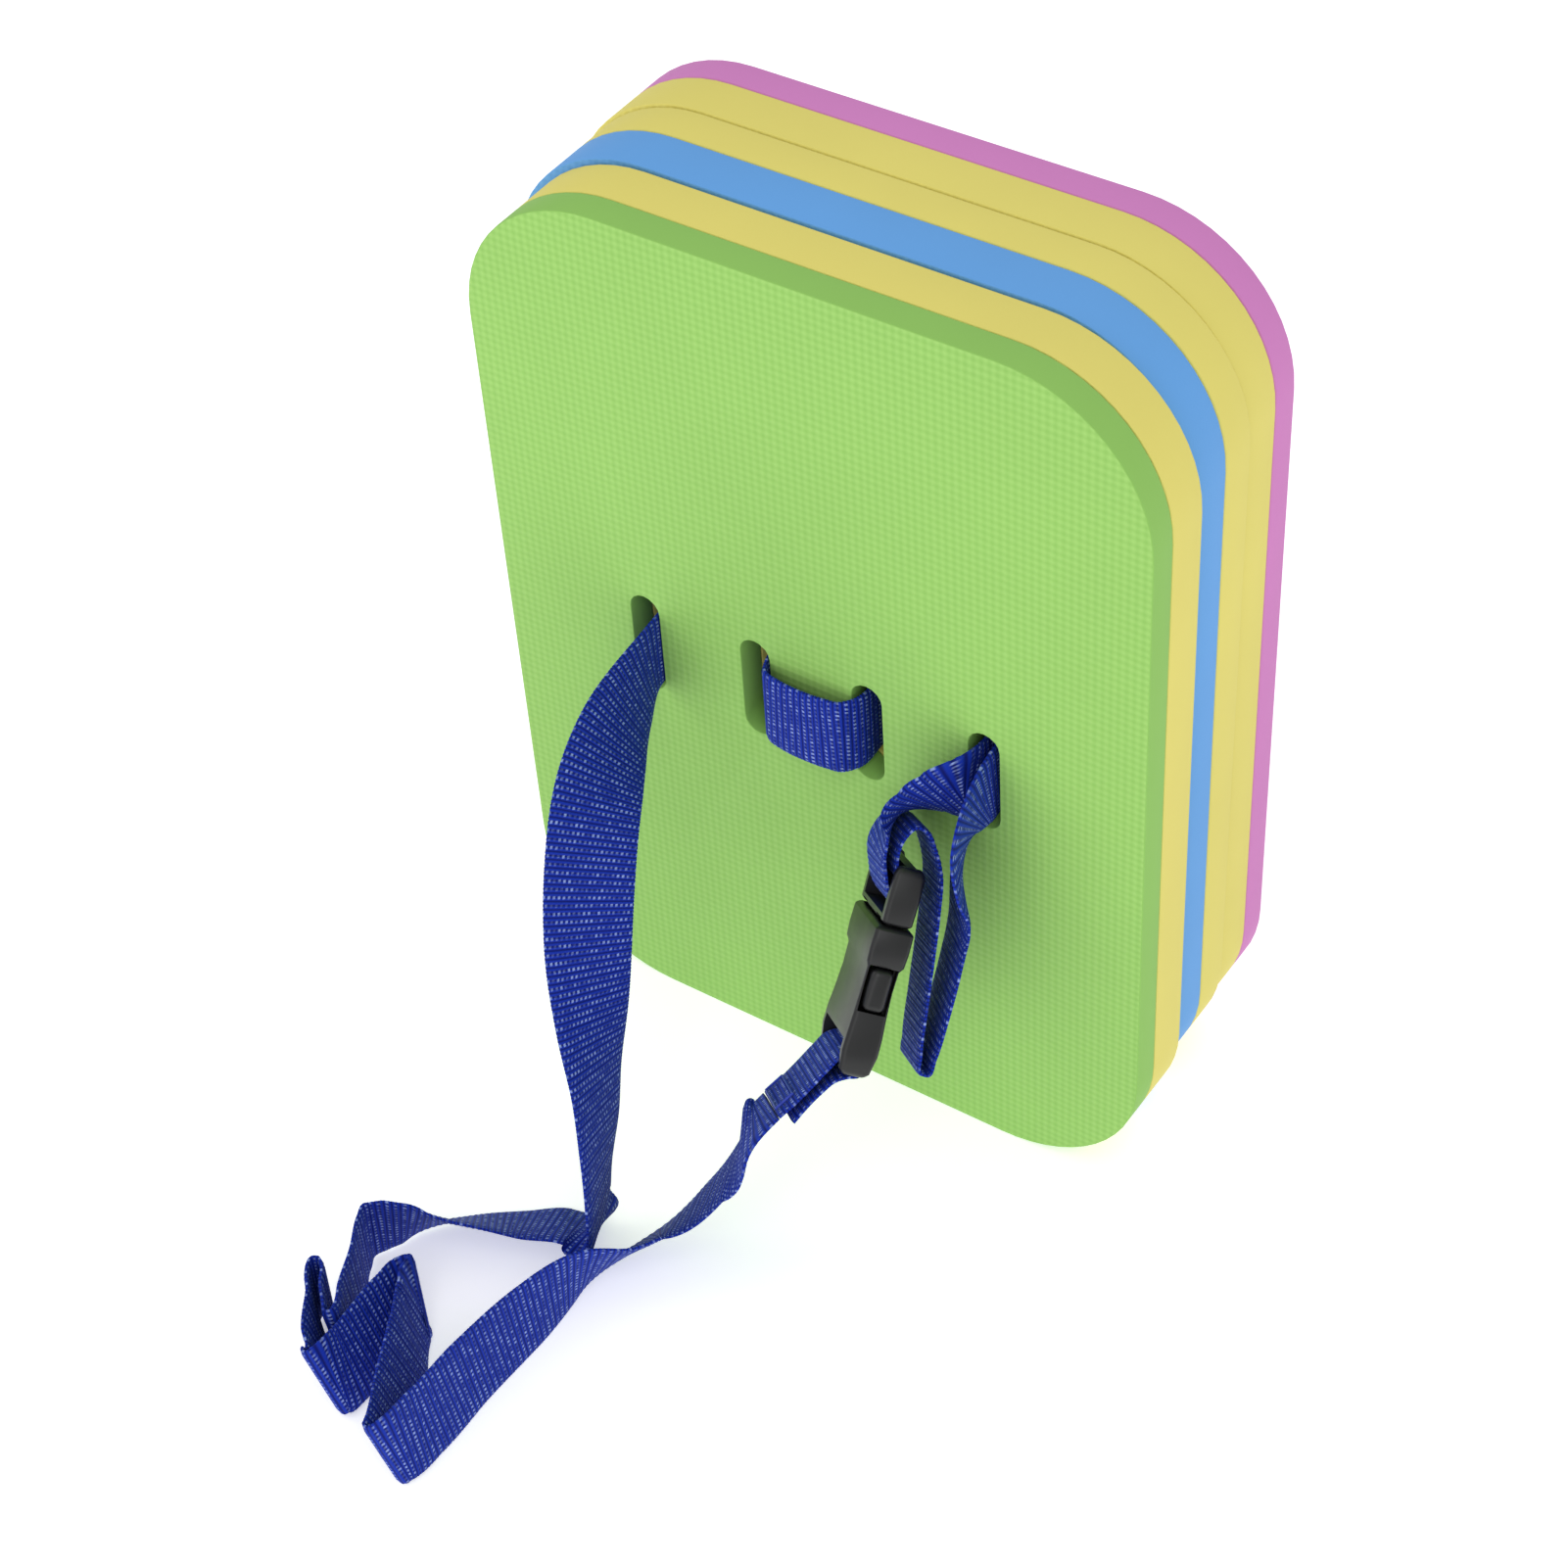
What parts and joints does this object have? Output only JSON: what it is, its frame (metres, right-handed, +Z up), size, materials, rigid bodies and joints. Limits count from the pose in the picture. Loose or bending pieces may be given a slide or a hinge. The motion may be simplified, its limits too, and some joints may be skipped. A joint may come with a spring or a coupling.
{
  "type": "swim back float",
  "caption": "Swim back float: three two-colour foam boards threaded on a webbing waist belt with a side-release buckle.",
  "frame": {"origin": "middle of the boards' bottom edges, where the float stands on the floor", "axes": "+Z up along the boards' height, +Y from the green front face to the pink back face, +X to the right as the green face is seen"},
  "size_m": [0.2138, 0.2916, 0.28],
  "materials": {
    "green_foam": "matte",
    "yellow_foam": "matte",
    "blue_foam": "matte",
    "pink_foam": "matte",
    "blue_webbing": "matte",
    "black_buckle": "satin"
  },
  "bodies": {
    "root": {"front_board_green_sheet": "green_foam", "front_board_yellow_sheet": "yellow_foam", "belt_floor_run": "blue_webbing", "belt_left_rear_span": "blue_webbing", "belt_front_bridge": "blue_webbing", "belt_right_rear_span": "blue_webbing", "belt_adjuster_strand": "blue_webbing", "buckle_insert": "black_buckle"},
    "middle_board": {"middle_board_blue_sheet": "blue_foam", "middle_board_yellow_sheet": "yellow_foam"},
    "rear_board": {"rear_board_yellow_sheet": "yellow_foam", "rear_board_pink_sheet": "pink_foam"},
    "buckle_socket": {"buckle_socket": "black_buckle", "belt_sewn_end": "blue_webbing", "sewn_end_stitching": "blue_webbing"},
    "near_prong": {"buckle_near_prong": "black_buckle"},
    "far_prong": {"buckle_far_prong": "black_buckle"}
  },
  "joints": [
    {"name": "middle_board_slide", "type": "slide", "parent": "root", "child": "middle_board", "axis": [0, 1, 0], "range_m": [-0.0012, 0.003]},
    {"name": "rear_board_slide", "type": "slide", "parent": "middle_board", "child": "rear_board", "axis": [0, 1, 0], "range_m": [-0.0003, 0.004]},
    {"name": "buckle_release", "type": "slide", "parent": "root", "child": "buckle_socket", "axis": [0.0495, -0.6267, -0.7777], "range_m": [0, 0.024], "deforming": ["belt_floor_run", "buckle_near_prong", "buckle_far_prong"]},
    {"name": "near_prong_press", "type": "hinge", "parent": "root", "child": "near_prong", "pos_m": [0.04778, -0.07361, 0.10685], "axis": [0.7823, 0.5082, -0.3601], "range_deg": [0, 6], "stiffness_Nm_per_rad": 1},
    {"name": "far_prong_press", "type": "hinge", "parent": "root", "child": "far_prong", "pos_m": [0.03561, -0.06203, 0.09674], "axis": [-0.7823, -0.5082, 0.3601], "range_deg": [0, 6], "stiffness_Nm_per_rad": 1}
  ]
}
